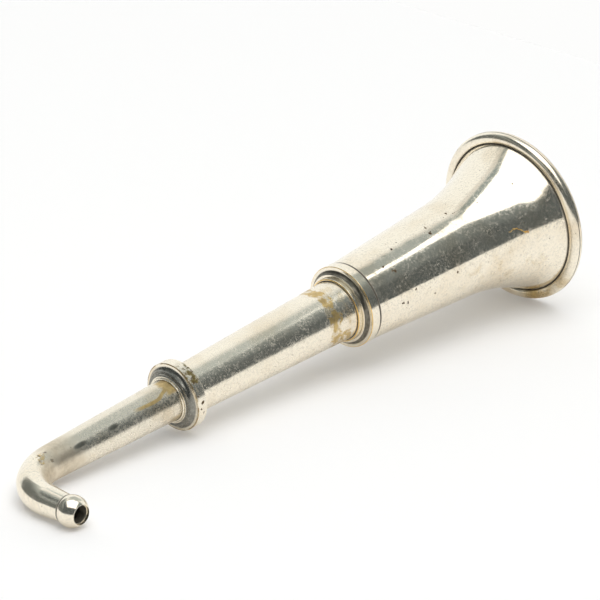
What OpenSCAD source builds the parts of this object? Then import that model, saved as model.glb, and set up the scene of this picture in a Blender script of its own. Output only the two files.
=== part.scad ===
// Telescopic ear trumpet of silver-plated brass: a flared bell, a middle draw and an ear draw
// that slide and turn in friction sleeves, a bent elbow and a ball-shaped ear tip.
// Millimetres. The trumpet lies on a table, drawn out, on its rim and on its ear tip:
// +Z is up, the mouth looks along +X, the elbow points along -Y, z = 0 is the table.

/* [Mouth] */
// Outside radius of the mouth ring, the widest circle of the trumpet
mouth_radius = 28.2; // [25:0.1:32]
// Thickness of the mouth ring along the axis
mouth_ring_thickness = 1.7; // [1.4:0.1:2.2]
// Rounding of the mouth ring's front edge
mouth_rounding = 1.2; // [0.8:0.1:1.3]
// Radius of the half-round bead behind the mouth ring
bead_radius = 2; // [1.8:0.05:2.2]
// Radius of the stiffening wire inside the bead
wire_radius = 0.65; // [0.4:0.05:0.7]
// Metal between the wire and the mouth ring
wire_cover = 0.25; // [0.2:0.05:0.35]
// Height of the mouth ring's edge above the bell's skin
rim_height = 2.65; // [2.4:0.05:2.8]

/* [Bell] */
// Length of the bell from the mouth plane to its turned-in tail
bell_length = 79.6; // [70:0.5:95]
// Outside radius of the bell at its tail
tail_radius = 12.95; // [12.6:0.05:13.6]
// Half angle of the plain cone between the tail and the flare
cone_angle = 3.6; // [2.5:0.1:4.5]
// Length of the flare, measured from the mouth plane
flare_length = 33.3; // [26:0.1:40]
// Thickness of the bell's sheet metal
bell_sheet = 0.6; // [0.45:0.05:0.8]

/* [Draws] */
// Outside radius of the middle tube where it leaves its sleeve
middle_radius = 9.62; // [9.4:0.02:9.7]
// Half angle of the middle tube's taper
middle_taper = 1.62; // [1.3:0.02:1.7]
// Length of middle tube that shows between the two collars
middle_show = 66.15; // [50:0.05:75]
// Outside radius of the ear tube where it leaves its sleeve
ear_radius = 6.5; // [6:0.02:6.52]
// Half angle of the ear tube's taper
ear_taper = 1.43; // [1:0.01:1.5]
// Length of ear tube that shows between its sleeve and the elbow
ear_show = 47.05; // [36:0.05:55]
// Thickness of the two tubes and the elbow
tube_sheet = 0.5; // [0.4:0.05:0.6]
// Radial running clearance between a sleeve and the pieces it turns and slides on
running_gap = 0.05; // [0.03:0.01:0.09]

/* [Bell collar and middle sleeve] */
// Length of bell that the bell collar grips
collar_grip = 2.15; // [1.8:0.05:2.5]
// Length of the bell collar's band past the bell's tail
collar_band = 1.25; // [1.1:0.05:1.6]
// Height of the bell collar's band above the bell
collar_height = 0.22; // [0.2:0.01:0.5]
// Radius of the hollow in the bell collar's face
scotia = 1.3; // [1.1:0.05:1.35]
// Length of the middle sleeve past the bell's tail
sleeve_reach = 4.15; // [3.8:0.05:5]
// Length of the middle sleeve inside the bell
sleeve_inset = 4.6; // [3.5:0.05:6]
// Wall of the middle sleeve where it is thinnest
sleeve_wall = 0.7; // [0.65:0.01:0.8]
// Height of the flange that keeps the middle sleeve in its collar
flange_height = 1.4; // [1:0.05:1.5]

/* [Middle collar and ear sleeve] */
// Length of middle tube that the middle collar grips
small_grip = 2.1; // [1.8:0.05:2.4]
// Length of the middle collar's plain band
small_band = 3.65; // [3.4:0.05:4.2]
// Height of the middle collar's band above the middle tube
small_height = 3.1; // [3:0.05:3.6]
// Radius of the large cove in the middle collar's face
cove = 1.75; // [1.5:0.05:1.85]
// Length of the ear sleeve past the middle collar's band
ear_sleeve_reach = 2.6; // [2.4:0.05:3.4]
// Length of the ear sleeve inside the middle tube
ear_sleeve_inset = 5.4; // [4:0.05:7]
// Clearance between the ear sleeve and the middle tube round it
ear_sleeve_gap = 0.09; // [0.06:0.01:0.1]
// Height of the flange that keeps the ear sleeve in its collar
ear_flange_height = 1.1; // [0.8:0.05:1.2]

/* [Flanges and stops] */
// Thickness of the flanges on both sleeves
flange_thickness = 0.8; // [0.6:0.05:0.9]
// Play beside a flange and behind a sleeve
end_play = 0.1; // [0.06:0.01:0.14]
// Length of tube behind its sleeve, which carries the stop ring
stop_room = 3; // [2.5:0.1:4]
// Length of the stop rings
stop_length = 1.9; // [1.4:0.1:2.2]
// Height of the middle stop ring above the middle sleeve
stop_height = 0.55; // [0.4:0.05:0.8]
// Height of the ear stop ring above the ear tube
ear_stop_height = 0.36; // [0.3:0.01:0.4]

/* [Elbow and ear tip] */
// Radius of the elbow's centre line
bend_radius = 16.5; // [14:0.5:19]
// Outside radius of the elbow at the end of its bend
arm_radius = 4.65; // [4.5:0.05:4.8]
// Radius of the elbow's end, which sits in the ear tip
arm_end_radius = 4.15; // [3.9:0.05:4.25]
// Depth of the elbow's seat in the ear tip
socket_depth = 2; // [1.5:0.1:2.4]
// Length of the elbow's spigot inside the ear tube
spigot = 4; // [3:0.5:6]
// Distance from the trumpet's axis to the centre of the ear tip's ball
arm_reach = 26.4; // [25:0.1:32]
// Radius of the ear tip's ball
tip_radius = 4.85; // [4.75:0.05:5.4]
// Radius of the ball's edge where it meets the elbow
tip_neck = 4.45; // [4.4:0.05:4.6]
// Radius of the sound hole in the ear tip
tip_bore = 2.75; // [2:0.05:2.9]
// Width of the flat edge round the sound hole
tip_lip = 0.25; // [0.15:0.05:0.4]

/* [Hidden] */
$fn = 96;
fuzz = 0.01;

// stations along the axis, counted from the mouth plane towards the ear
collar_back = bell_length - collar_grip;
collar_edge = bell_length + collar_band;
sleeve_front = bell_length + sleeve_reach;
sleeve_back = bell_length - sleeve_inset;
middle_back = sleeve_back - stop_room;
small_back = sleeve_front + middle_show;
small_edge = small_back + small_band;
middle_front = small_back + small_grip;
ear_sleeve_front = small_edge + ear_sleeve_reach;
ear_sleeve_back = middle_front - ear_sleeve_inset;
ear_back = ear_sleeve_back - stop_room;
ear_front = ear_sleeve_front + ear_show;
arm_station = ear_front + bend_radius;

// radii of the tapered tubes at any station
function middle_r(s) = middle_radius - (s - sleeve_front) * tan(middle_taper);
function ear_r(s) = ear_radius - (s - ear_sleeve_front) * tan(ear_taper);
function cone_r(s) = tail_radius + (bell_length - s) * tan(cone_angle);

// the flare is one arc, tangent to the cone and ending at the mouth ring
horn_mouth = mouth_radius - rim_height;
flare_r = cone_r(flare_length);
flare_run = flare_length - mouth_ring_thickness;
chord_angle = atan2(horn_mouth - flare_r, flare_run);
chord = norm([horn_mouth - flare_r, flare_run]);
arc_radius = chord / (2 * sin(chord_angle - cone_angle));
arc_centre = [flare_r + arc_radius * cos(cone_angle), flare_length + arc_radius * sin(cone_angle)];

// rings
collar_r = cone_r(collar_back) + collar_height;
sleeve_r = middle_radius + sleeve_wall;
flange_r = sleeve_r + flange_height;
stop_r = sleeve_r + stop_height;
small_r = middle_r(small_back) + small_height;
ear_sleeve_r = middle_r(middle_front) - tube_sheet - ear_sleeve_gap;
ear_flange_r = ear_sleeve_r + ear_flange_height;
ear_stop_r = ear_r(ear_sleeve_back) + ear_stop_height;
recess = end_play + flange_thickness + running_gap;

// rim: the bead's crest is flush with the mouth ring
land_radius = mouth_radius - mouth_rounding;
bead_centre = mouth_radius - bead_radius;
bead_station = mouth_ring_thickness;
wire_centre = [bead_centre + bead_radius / 5, bead_station + wire_cover + wire_radius];

// ear tip, measured along the arm from the trumpet's axis
tip_seam = arm_reach - sqrt(pow(tip_radius, 2) - pow(tip_neck, 2));
tip_end = arm_reach + sqrt(pow(tip_radius, 2) - pow(tip_bore + tip_lip, 2));

// resting pose: the rim's bead and the ear tip both touch the table
rest_run = arm_station - bead_station;
tilt = acos((tip_radius - bead_radius) / norm([bead_centre, rest_run])) - atan2(rest_run, bead_centre);
axis_height = bead_centre * cos(tilt) + bead_station * sin(tilt) + bead_radius;
x_front = land_radius * sin(tilt) + mouth_rounding * (1 - cos(tilt));
x_rear = -arm_station * cos(tilt) - tip_radius;
y_left = mouth_radius;
y_right = -tip_end;

// lays a piece built along +Z, mouth at z = 0, down on the table
module lay() {
    translate([-(x_front + x_rear) / 2, -(y_left + y_right) / 2, axis_height])
        rotate([0, -(90 + tilt), 0])
            children();
}

// turns a half-section, given as radius and station, into a round piece
module turned() {
    lay() rotate_extrude() children();
}

// half-section of a straight tapered wall
module wall_section(s0, s1, outer0, outer1, inner0, inner1) {
    polygon([[inner0, s0], [outer0, s0], [outer1, s1], [inner1, s1]]);
}

// half-section of a solid sleeve with a rounded front edge and a flange
module sleeve_section(back, front, r, rounding, flange, flange_radius) {
    translate([0, back])
        square([r, front - rounding - back]);
    translate([0, front - rounding - fuzz])
        square([r - rounding, rounding + fuzz]);
    translate([r - rounding, front - rounding])
        circle(r = rounding);
    translate([0, flange])
        square([flange_radius, flange_thickness]);
}

// half-section of a plain collar band with bevelled edges
module band_section(back, front, r, bevel) {
    polygon([
        [0, back],
        [r - bevel, back],
        [r, back + bevel],
        [r, front - bevel],
        [r - bevel, front],
        [0, front]
    ]);
}

// half-section of everything inside the bell's outer skin, grown inwards by a depth
module bell_core(depth) {
    shift = depth / cos(cone_angle);
    polygon([
        [0, flare_length],
        [flare_r - shift, flare_length],
        [tail_radius - shift, bell_length],
        [0, bell_length]
    ]);
    difference() {
        translate([0, mouth_ring_thickness])
            square([arc_centre[0], flare_run + fuzz]);
        translate(arc_centre)
            circle(r = arc_radius + depth, $fn = 720);
    }
}

// Spun bell: flare, cone and a tail edge turned in to keep the sleeve
module bell_horn() {
    tail_hole = sleeve_r + flange_height * 0.3;
    color("silver") turned() {
        difference() {
            bell_core(0);
            bell_core(bell_sheet);
        }
        wall_section(bell_length - bell_sheet, bell_length, cone_r(bell_length - bell_sheet),
            tail_radius, tail_hole, tail_hole);
    }
}

// Half-round bead behind the mouth ring, closed over the wire
module rim_bead() {
    color("silver") turned() difference() {
        translate([bead_centre, bead_station])
            circle(r = bead_radius);
        translate([0, bead_station - 2 * bead_radius])
            square([mouth_radius + 1, 2 * bead_radius]);
        bell_core(0);
        translate(wire_centre)
            circle(r = wire_radius);
    }
}

// Stiffening wire inside the bead
module rim_wire() {
    color("dimgray") turned()
        translate(wire_centre)
            circle(r = wire_radius);
}

// Ring that finishes the mouth, with a flat front land, a rounded edge and a fine seam at the bead
module mouth_ring() {
    inner = horn_mouth - bell_sheet / cos(2 * chord_angle - cone_angle);
    seam = 0.15;
    chamfer = 0.6;
    color("silver") turned() difference() {
        union() {
            translate([land_radius, mouth_rounding])
                circle(r = mouth_rounding);
            translate([inner, 0])
                square([land_radius - inner, mouth_ring_thickness]);
            translate([inner, mouth_rounding])
                square([mouth_radius - inner, mouth_ring_thickness - seam - mouth_rounding]);
            translate([inner, mouth_rounding])
                square([mouth_radius - seam - inner, mouth_ring_thickness - mouth_rounding]);
            translate([mouth_radius - seam, mouth_ring_thickness - seam])
                circle(r = seam);
        }
        translate([inner, mouth_ring_thickness])
            square([mouth_radius - inner + 1, mouth_rounding]);
        translate([inner, 0])
            rotate(45)
                square(chamfer, center = true);
    }
}

// Turned collar on the bell's tail: plain band, scotia and a ridge round the sleeve
module bell_collar() {
    ridge = collar_edge + scotia + 0.1;
    rim = collar_r - 0.8;
    ridge_r = rim - scotia - 0.15;
    color("silver") turned() difference() {
        union() {
            band_section(collar_back, collar_edge, collar_r, 0.2);
            translate([0, collar_edge - fuzz])
                square([rim, scotia + fuzz]);
            translate([0, collar_edge])
                square([ridge_r, ridge - collar_edge]);
        }
        translate([rim, collar_edge + scotia])
            circle(r = scotia);
        bell_core(0);
        translate([0, bell_length - fuzz])
            square([flange_r + end_play, recess + fuzz]);
        square([sleeve_r + running_gap, ridge + 1]);
    }
}

// Friction sleeve that turns in the bell's collar; the middle tube slides through it
module middle_sleeve() {
    color("silver") turned() difference() {
        sleeve_section(sleeve_back, sleeve_front, sleeve_r, 0.3, bell_length + end_play, flange_r);
        wall_section(sleeve_back - 1, sleeve_front + 1, middle_r(sleeve_back - 1) + running_gap,
            middle_r(sleeve_front + 1) + running_gap, 0, 0);
    }
}

// Tapered middle draw
module middle_tube() {
    color("silver") turned()
        wall_section(middle_back, middle_front, middle_r(middle_back), middle_r(middle_front),
            middle_r(middle_back) - tube_sheet, middle_r(middle_front) - tube_sheet);
}

// Ring soldered round the middle tube's inner end, so that it can't be pulled out
module middle_stop() {
    s1 = sleeve_back - end_play;
    s0 = s1 - stop_length;
    color("goldenrod") turned()
        wall_section(s0, s1, stop_r, stop_r, middle_r(s0), middle_r(s1));
}

// Turned collar on the middle tube: plain band and a double-coved face
module middle_collar() {
    rim = small_r - 0.4;
    step = rim - cove;
    lip = small_edge + cove;
    lip_r = ear_sleeve_r + 0.55;
    groove = 0.6;
    color("silver") turned() difference() {
        union() {
            band_section(small_back, small_edge, small_r, 0.25);
            translate([0, small_edge - fuzz])
                square([rim, cove + fuzz]);
            translate([0, small_edge])
                square([lip_r, cove + 0.45]);
        }
        translate([rim, lip])
            circle(r = cove);
        translate([step - 0.2, lip + 0.4])
            circle(r = groove);
        wall_section(small_back - fuzz, middle_front, middle_r(small_back), middle_r(middle_front),
            0, 0);
        translate([0, middle_front - fuzz])
            square([ear_flange_r + end_play, recess + fuzz]);
        translate([0, small_back])
            square([ear_sleeve_r + running_gap, lip]);
    }
}

// Friction sleeve that turns in the middle collar; the ear tube slides through it
module ear_sleeve() {
    color("silver") turned() difference() {
        sleeve_section(ear_sleeve_back, ear_sleeve_front, ear_sleeve_r, 0.25, middle_front + end_play,
            ear_flange_r);
        wall_section(ear_sleeve_back - 1, ear_sleeve_front + 1, ear_r(ear_sleeve_back - 1) + running_gap,
            ear_r(ear_sleeve_front + 1) + running_gap, 0, 0);
    }
}

// Tapered ear draw
module ear_tube() {
    color("silver") turned()
        wall_section(ear_back, ear_front, ear_r(ear_back), ear_r(ear_front),
            ear_r(ear_back) - tube_sheet, ear_r(ear_front) - tube_sheet);
}

// Ring soldered round the ear tube's inner end
module ear_stop() {
    s1 = ear_sleeve_back - end_play;
    s0 = s1 - stop_length;
    color("goldenrod") turned()
        wall_section(s0, s1, ear_stop_r, ear_stop_r, ear_r(s0), ear_r(s1));
}

// points of one ring of the elbow: turn along the bend, run along the arm, radius
function elbow_ring(turn, run, r, sides) = [
    for (k = [0:sides - 1])
        let (a = 360 * k / sides, out = r * cos(a))
        [
            bend_radius * (1 - cos(turn)) + run * sin(turn) + out * cos(turn),
            r * sin(a),
            ear_front + bend_radius * sin(turn) + run * cos(turn) - out * sin(turn)
        ]
];

// Bent elbow, tapering, with a spigot soldered into the ear tube
module ear_elbow() {
    sides = 48;
    steps = 18;
    wall = tube_sheet;
    start_r = ear_r(ear_front);
    arm_run = tip_seam - bend_radius;
    bend = [for (k = [0:steps]) [90 * k / steps, 0, start_r + (arm_radius - start_r) * k / steps]];
    outside = concat(
        [[0, -spigot, ear_r(ear_front - spigot) - wall], [0, 0, start_r - wall]],
        bend,
        [[90, arm_run, arm_end_radius], [90, arm_run + socket_depth, arm_end_radius]]
    );
    inside = [
        for (k = [len(outside) - 1:-1:0])
            if (k != 1)
                [outside[k][0], outside[k][1], k == 0 ? outside[0][2] - wall
                    : k == 2 ? start_r - 2 * wall : outside[k][2] - wall]
    ];
    rings = concat(outside, inside);
    count = len(rings);
    points = [for (ring = rings) each elbow_ring(ring[0], ring[1], ring[2], sides)];
    faces = [
        for (i = [0:count - 1], k = [0:sides - 1])
            let (
                j = (i + 1) % count,
                n = (k + 1) % sides,
                a = i * sides + k,
                b = i * sides + n,
                c = j * sides + n,
                d = j * sides + k
            )
            each [[a, c, b], [a, d, c]]
    ];
    color("silver") lay() rotate([0, 0, -90])
        polyhedron(points, faces, convexity = 6);
}

// Ball-shaped ear tip with a true round sound hole, socketed on the elbow's arm
module ear_tip() {
    color("silver") lay() rotate([0, 0, -90])
        translate([0, 0, arm_station])
            rotate([0, 90, 0])
                rotate_extrude()
                    difference() {
                        intersection() {
                            translate([0, arm_reach])
                                circle(r = tip_radius);
                            translate([0, tip_seam])
                                square([tip_radius + 1, tip_end - tip_seam]);
                        }
                        translate([0, tip_seam - 1])
                            square([arm_end_radius, socket_depth + 1]);
                        translate([0, tip_seam])
                            square([tip_bore, tip_end - tip_seam + 1]);
                    }
}

bell_horn();
rim_bead();
rim_wire();
mouth_ring();
bell_collar();
middle_sleeve();
middle_tube();
middle_stop();
middle_collar();
ear_sleeve();
ear_tube();
ear_stop();
ear_elbow();
ear_tip();
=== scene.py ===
# %% [markdown]
# A telescopic ear trumpet lies drawn out on a pale table. Its shape was made in a CAD model, which is
# loaded here as a fixed frame. This lesson dresses that frame: each turned piece is made again as a
# fine, smooth surface, because polished silver shows every facet, and then gets its worn finish.

import math

import bmesh
import bpy
from mathutils import Matrix, Vector


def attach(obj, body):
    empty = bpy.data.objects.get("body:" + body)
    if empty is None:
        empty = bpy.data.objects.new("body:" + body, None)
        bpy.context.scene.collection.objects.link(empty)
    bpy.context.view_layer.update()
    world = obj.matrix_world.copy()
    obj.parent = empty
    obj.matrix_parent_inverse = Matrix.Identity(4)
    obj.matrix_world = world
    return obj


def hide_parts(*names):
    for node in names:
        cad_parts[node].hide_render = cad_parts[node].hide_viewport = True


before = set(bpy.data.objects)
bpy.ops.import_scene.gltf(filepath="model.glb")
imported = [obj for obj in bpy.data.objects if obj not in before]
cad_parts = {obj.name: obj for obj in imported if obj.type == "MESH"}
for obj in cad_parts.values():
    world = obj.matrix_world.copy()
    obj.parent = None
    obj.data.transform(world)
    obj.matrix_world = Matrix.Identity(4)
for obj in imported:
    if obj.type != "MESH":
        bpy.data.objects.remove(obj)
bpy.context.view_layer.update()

# %% [markdown]
# The sizes are those of the CAD model, in millimetres. A station is a distance along the trumpet's own
# axis, counted from the mouth plane towards the ear. Sizes could also be read off the CAD meshes, but
# written as radius and station they keep every profile as simple as a drawing for a lathe.

# %% Sizes
MM = 0.001
MOUTH_R = 28.2
RING_THICK = 1.7
MOUTH_ROUNDING = 1.2
BEAD_R = 2.0
RIM_HEIGHT = 2.65
BELL_LENGTH = 79.6
TAIL_R = 12.95
CONE = math.radians(3.6)
FLARE_LENGTH = 33.3
BELL_SHEET = 0.6
MIDDLE_R = 9.62
MIDDLE_TAPER = math.radians(1.62)
EAR_R = 6.5
EAR_TAPER = math.radians(1.43)
TUBE_SHEET = 0.5
GAP = 0.05
BEND_R = 16.5
ARM_R = 4.65
ARM_END_R = 4.15
ARM_REACH = 26.4
TIP_R = 4.85
TIP_NECK = 4.45
TIP_BORE = 2.75
TIP_LIP = 0.25
SOCKET = 2.0

COLLAR_BACK = BELL_LENGTH - 2.15
COLLAR_EDGE = BELL_LENGTH + 1.25
SLEEVE_FRONT = BELL_LENGTH + 4.15
SLEEVE_BACK = BELL_LENGTH - 4.6
MIDDLE_BACK = SLEEVE_BACK - 3.0
SMALL_BACK = SLEEVE_FRONT + 66.15
SMALL_EDGE = SMALL_BACK + 3.65
MIDDLE_FRONT = SMALL_BACK + 2.1
EAR_SLEEVE_FRONT = SMALL_EDGE + 2.6
EAR_SLEEVE_BACK = MIDDLE_FRONT - 5.4
EAR_BACK = EAR_SLEEVE_BACK - 3.0
EAR_FRONT = EAR_SLEEVE_FRONT + 47.05
ARM_STATION = EAR_FRONT + BEND_R
TIP_SEAM = ARM_REACH - math.sqrt(TIP_R**2 - TIP_NECK**2)
TIP_END = ARM_REACH + math.sqrt(TIP_R**2 - (TIP_BORE + TIP_LIP) ** 2)


def middle_r(s):
    """Outside radius of the middle tube at a station."""
    return MIDDLE_R - (s - SLEEVE_FRONT) * math.tan(MIDDLE_TAPER)


def ear_r(s):
    """Outside radius of the ear tube at a station."""
    return EAR_R - (s - EAR_SLEEVE_FRONT) * math.tan(EAR_TAPER)


def cone_r(s):
    """Outside radius of the bell's plain cone at a station."""
    return TAIL_R + (BELL_LENGTH - s) * math.tan(CONE)


print("ear tube ends at station", EAR_FRONT, "with radius", round(ear_r(EAR_FRONT), 2))

# %% [markdown]
# The trumpet rests on the bead of its rim and on its ear tip, so its axis leans a few degrees. One
# matrix holds that lean: every piece is made upright, as on a lathe, and the matrix lays it down. Turning
# each object instead would work too, but points that lie where they belong keep the frame simple.

# %% Lay the trumpet down
BEAD_RING = MOUTH_R - BEAD_R
REST_RUN = ARM_STATION - RING_THICK
TILT = math.acos((TIP_R - BEAD_R) / math.hypot(BEAD_RING, REST_RUN)) - math.atan2(REST_RUN, BEAD_RING)
AXIS_HEIGHT = BEAD_RING * math.cos(TILT) + RING_THICK * math.sin(TILT) + BEAD_R
X_FRONT = (MOUTH_R - MOUTH_ROUNDING) * math.sin(TILT) + MOUTH_ROUNDING * (1 - math.cos(TILT))
X_REAR = -ARM_STATION * math.cos(TILT) - TIP_R
MOUTH_AT = Vector((-(X_FRONT + X_REAR) / 2, -(MOUTH_R - TIP_END) / 2, AXIS_HEIGHT)) * MM
LEAN = -(math.pi / 2 + TILT)
LAY = Matrix.Translation(MOUTH_AT) @ Matrix.Rotation(LEAN, 4, "Y")
print("lean of the axis:", round(math.degrees(TILT), 2), "degrees")

# %% [markdown]
# The camera stands about 1.4 metres away, to the ear's side and a little above. A wide lens close by would
# frame the trumpet too, but would swell the near tip. With a long lens the far mouth and the tip keep
# almost the same scale, as in the photograph.

# %% Camera
PHOTO_SIZE = 600
FOCAL_PX = 4601.9
SENSOR = 36.0
CAMERA_AT = Vector((-0.91526, -0.90232, 0.55404))
PAN = math.radians(44.262)
DIP = math.radians(22.146)

lens = bpy.data.cameras.new("photo_camera")
lens.sensor_width = SENSOR
lens.lens = SENSOR * FOCAL_PX / PHOTO_SIZE
lens.clip_end = 20.0
camera = bpy.data.objects.new("photo_camera", lens)
bpy.context.scene.collection.objects.link(camera)
look = Vector((math.cos(DIP) * math.cos(PAN), math.cos(DIP) * math.sin(PAN), -math.sin(DIP)))
camera.location = CAMERA_AT
camera.rotation_euler = look.to_track_quat("-Z", "Y").to_euler()
bpy.context.scene.camera = camera
print("lens:", round(lens.lens, 1), "mm")

# %% [markdown]
# Every round piece comes from a profile: a closed line of radius and station. Real edges are never razor
# sharp, and polished ones catch the light, so each corner carries its own rounding. A Bevel modifier
# would round all edges alike, so the roundings are worked out here. Long straight runs are cut into
# short ones, with a very short one beside each corner, which keeps the smooth shading of flats true.

# %% Profile tools
CORNER = math.radians(3)
CORNER_RUN = 0.06
SHORT_RUN = 0.4


def rounded(corners, steps=5):
    """A closed profile from (radius, station, rounding) corners, with each corner rounded off."""
    line = []
    for i, (r, s, rounding) in enumerate(corners):
        here = Vector((r, s))
        if rounding <= 0:
            line.append(here)
            continue
        back = (Vector(corners[i - 1][:2]) - here).normalized()
        ahead = (Vector(corners[(i + 1) % len(corners)][:2]) - here).normalized()
        half = back.angle(ahead) / 2
        cut = rounding / math.tan(half)
        centre = here + (back + ahead).normalized() * (rounding / math.sin(half))
        start = here + back * cut - centre
        sweep = start.angle_signed(here + ahead * cut - centre)
        for k in range(steps + 1):
            line.append(centre + Matrix.Rotation(-sweep * k / steps, 2) @ start)
    return line


def eased(line, longest):
    """The same closed profile with no run longer than given, and with short runs beside corners."""
    count = len(line)
    steps = [line[(i + 1) % count] - line[i] for i in range(count)]
    sharp = [steps[i - 1].angle(steps[i], 0.0) > CORNER for i in range(count)]
    out = []
    for i, here in enumerate(line):
        run = steps[i].length
        out.append(here)
        if run < SHORT_RUN:
            continue
        cuts = math.ceil(run / longest)
        shares = {k / cuts for k in range(1, cuts)}
        if sharp[i]:
            shares.add(CORNER_RUN / run)
        if sharp[(i + 1) % count]:
            shares.add(1 - CORNER_RUN / run)
        out.extend(here + steps[i] * share for share in sorted(shares))
    return out


def arc(centre, radius, start, end, steps):
    """Points of a circular arc in radius and station, between two angles in degrees."""
    angles = [math.radians(start + (end - start) * k / steps) for k in range(steps + 1)]
    return [Vector((centre[0] + radius * math.cos(a), centre[1] + radius * math.sin(a))) for a in angles]


print("profile tools ready")

# %% [markdown]
# A lathe turns a profile about an axis. Blender's Screw modifier can do that, but the elbow needs rings
# that follow a bend, so one function builds a closed surface from any rows of rings.

# %% Turning
def finish_mesh(name, grid, body, node):
    """A closed grid of rings becomes a smooth object that rides on a body and stands for a node."""
    rings, sides = len(grid), len(grid[0])
    mesh = bpy.data.meshes.new(name)
    verts = [LAY @ (Vector(p) * MM) for ring in grid for p in ring]
    faces = []
    for i in range(rings):
        j = (i + 1) % rings
        for k in range(sides):
            n = (k + 1) % sides
            faces.append((i * sides + k, i * sides + n, j * sides + n, j * sides + k))
    mesh.from_pydata(verts, [], faces)
    mesh.polygons.foreach_set("use_smooth", [True] * len(faces))
    shape = bmesh.new()
    shape.from_mesh(mesh)
    bmesh.ops.recalc_face_normals(shape, faces=shape.faces)
    shape.to_mesh(mesh)
    shape.free()
    piece = bpy.data.objects.new(name, mesh)
    bpy.context.scene.collection.objects.link(piece)
    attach(piece, body)
    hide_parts(node)
    print(name, "rides on", body, "with", len(faces), "faces")
    return piece


def turned(name, line, body, node, sides=160, longest=1.5):
    """A profile turned about the trumpet's axis."""
    turns = [2 * math.pi * k / sides for k in range(sides)]
    grid = [[(p.x * math.cos(a), p.x * math.sin(a), p.y) for a in turns] for p in eased(line, longest)]
    return finish_mesh(name, grid, body, node)


print("lathe ready")

# %% [markdown]
# The bell is spun from sheet brass: a plain cone that opens into one long curve towards the mouth. The
# curve could be drawn by eye, but an arc that leaves the cone without a kink mirrors the room cleanly,
# and its centre follows from the mouth's radius. The tail edge is turned in and keeps the sleeve in place.

# %% Bell
HORN_MOUTH = MOUTH_R - RIM_HEIGHT
FLARE_R = cone_r(FLARE_LENGTH)
FLARE_RUN = FLARE_LENGTH - RING_THICK
CHORD_ANGLE = math.atan2(HORN_MOUTH - FLARE_R, FLARE_RUN)
ARC_R = math.hypot(HORN_MOUTH - FLARE_R, FLARE_RUN) / (2 * math.sin(CHORD_ANGLE - CONE))
ARC_AT = Vector((FLARE_R + ARC_R * math.cos(CONE), FLARE_LENGTH + ARC_R * math.sin(CONE)))
SLEEVE_R = MIDDLE_R + 0.7
TAIL_HOLE = SLEEVE_R + 0.42
TAIL_START = BELL_LENGTH - 0.3
TAIL_INNER = BELL_LENGTH - BELL_SHEET


def flare(depth, steps):
    """The flare from the mouth to the cone, a depth below the outer skin."""
    runs = [RING_THICK + FLARE_RUN * k / steps for k in range(steps + 1)]
    return [Vector((ARC_AT.x - math.sqrt((ARC_R + depth) ** 2 - (ARC_AT.y - s) ** 2), s)) for s in runs]


tail = rounded(
    [
        (cone_r(TAIL_START), TAIL_START, 0),
        (TAIL_R, BELL_LENGTH, 0.15),
        (TAIL_HOLE, BELL_LENGTH, 0.1),
        (TAIL_HOLE, TAIL_INNER, 0.1),
        (TAIL_R - BELL_SHEET / math.cos(CONE), TAIL_INNER, 0),
    ]
)
bell_line = flare(0, steps=44) + tail + flare(BELL_SHEET, steps=30)[::-1]
bell = turned("bell", bell_line, "bell", "bell_horn", sides=224, longest=1.6)

# %% [markdown]
# The mouth has two mouldings. A half-round bead, closed over a stiffening wire, meets the bell at a
# dark crease, and a ring in front of it is just as wide. The bead could simply be pushed into the bell,
# but skins that overlap are untidy in an export. Two circles meet at the crease, the bead's and the
# flare's, so its place is worked out from their centres and the bead ends just there.

# %% Rim bead and mouth ring
BEAD_AT = Vector((BEAD_RING, RING_THICK))
to_flare = ARC_AT - BEAD_AT
to_chord = (BEAD_R**2 - ARC_R**2 + to_flare.length_squared) / (2 * to_flare.length)
CREASE = math.degrees(math.atan2(to_flare.y, to_flare.x) + math.acos(to_chord / BEAD_R))
crest = rounded(
    [
        (BEAD_RING, RING_THICK, 0),
        (MOUTH_R - 0.001, RING_THICK, 0.12),
        (MOUTH_R, RING_THICK + 0.4, 0),
    ]
)
round_back = arc(BEAD_AT, BEAD_R, 4, CREASE, 32)
CREASE_AT = round_back[-1]
bead_foot = [Vector((HORN_MOUTH, RING_THICK))]
bead = turned("rim_roll", crest[1:-1] + round_back + bead_foot, "bell", "rim_bead", sides=224)
RING_IN = HORN_MOUTH - BELL_SHEET / math.cos(2 * CHORD_ANGLE - CONE)
ring_line = rounded(
    [
        (RING_IN, 0.0, 0.4),
        (MOUTH_R, 0.0, MOUTH_ROUNDING),
        (MOUTH_R, RING_THICK, 0.15),
        (RING_IN, RING_THICK, 0.05),
    ],
    steps=8,
)
ring = turned("mouth_moulding", ring_line, "bell", "mouth_ring", sides=224)
print("crease at radius", round(CREASE_AT.x, 2), "and station", round(CREASE_AT.y, 2))

# %% [markdown]
# The bell's collar is a turned ring: a plain band, a hollow moulding that turners call a scotia, and a
# ridge. The hollow faces the viewer and mirrors the dark side of the room. A bump map could fake it from
# the front only, so it is a true quarter round. Behind the ridge is a seat for the sleeve's flange.

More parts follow.
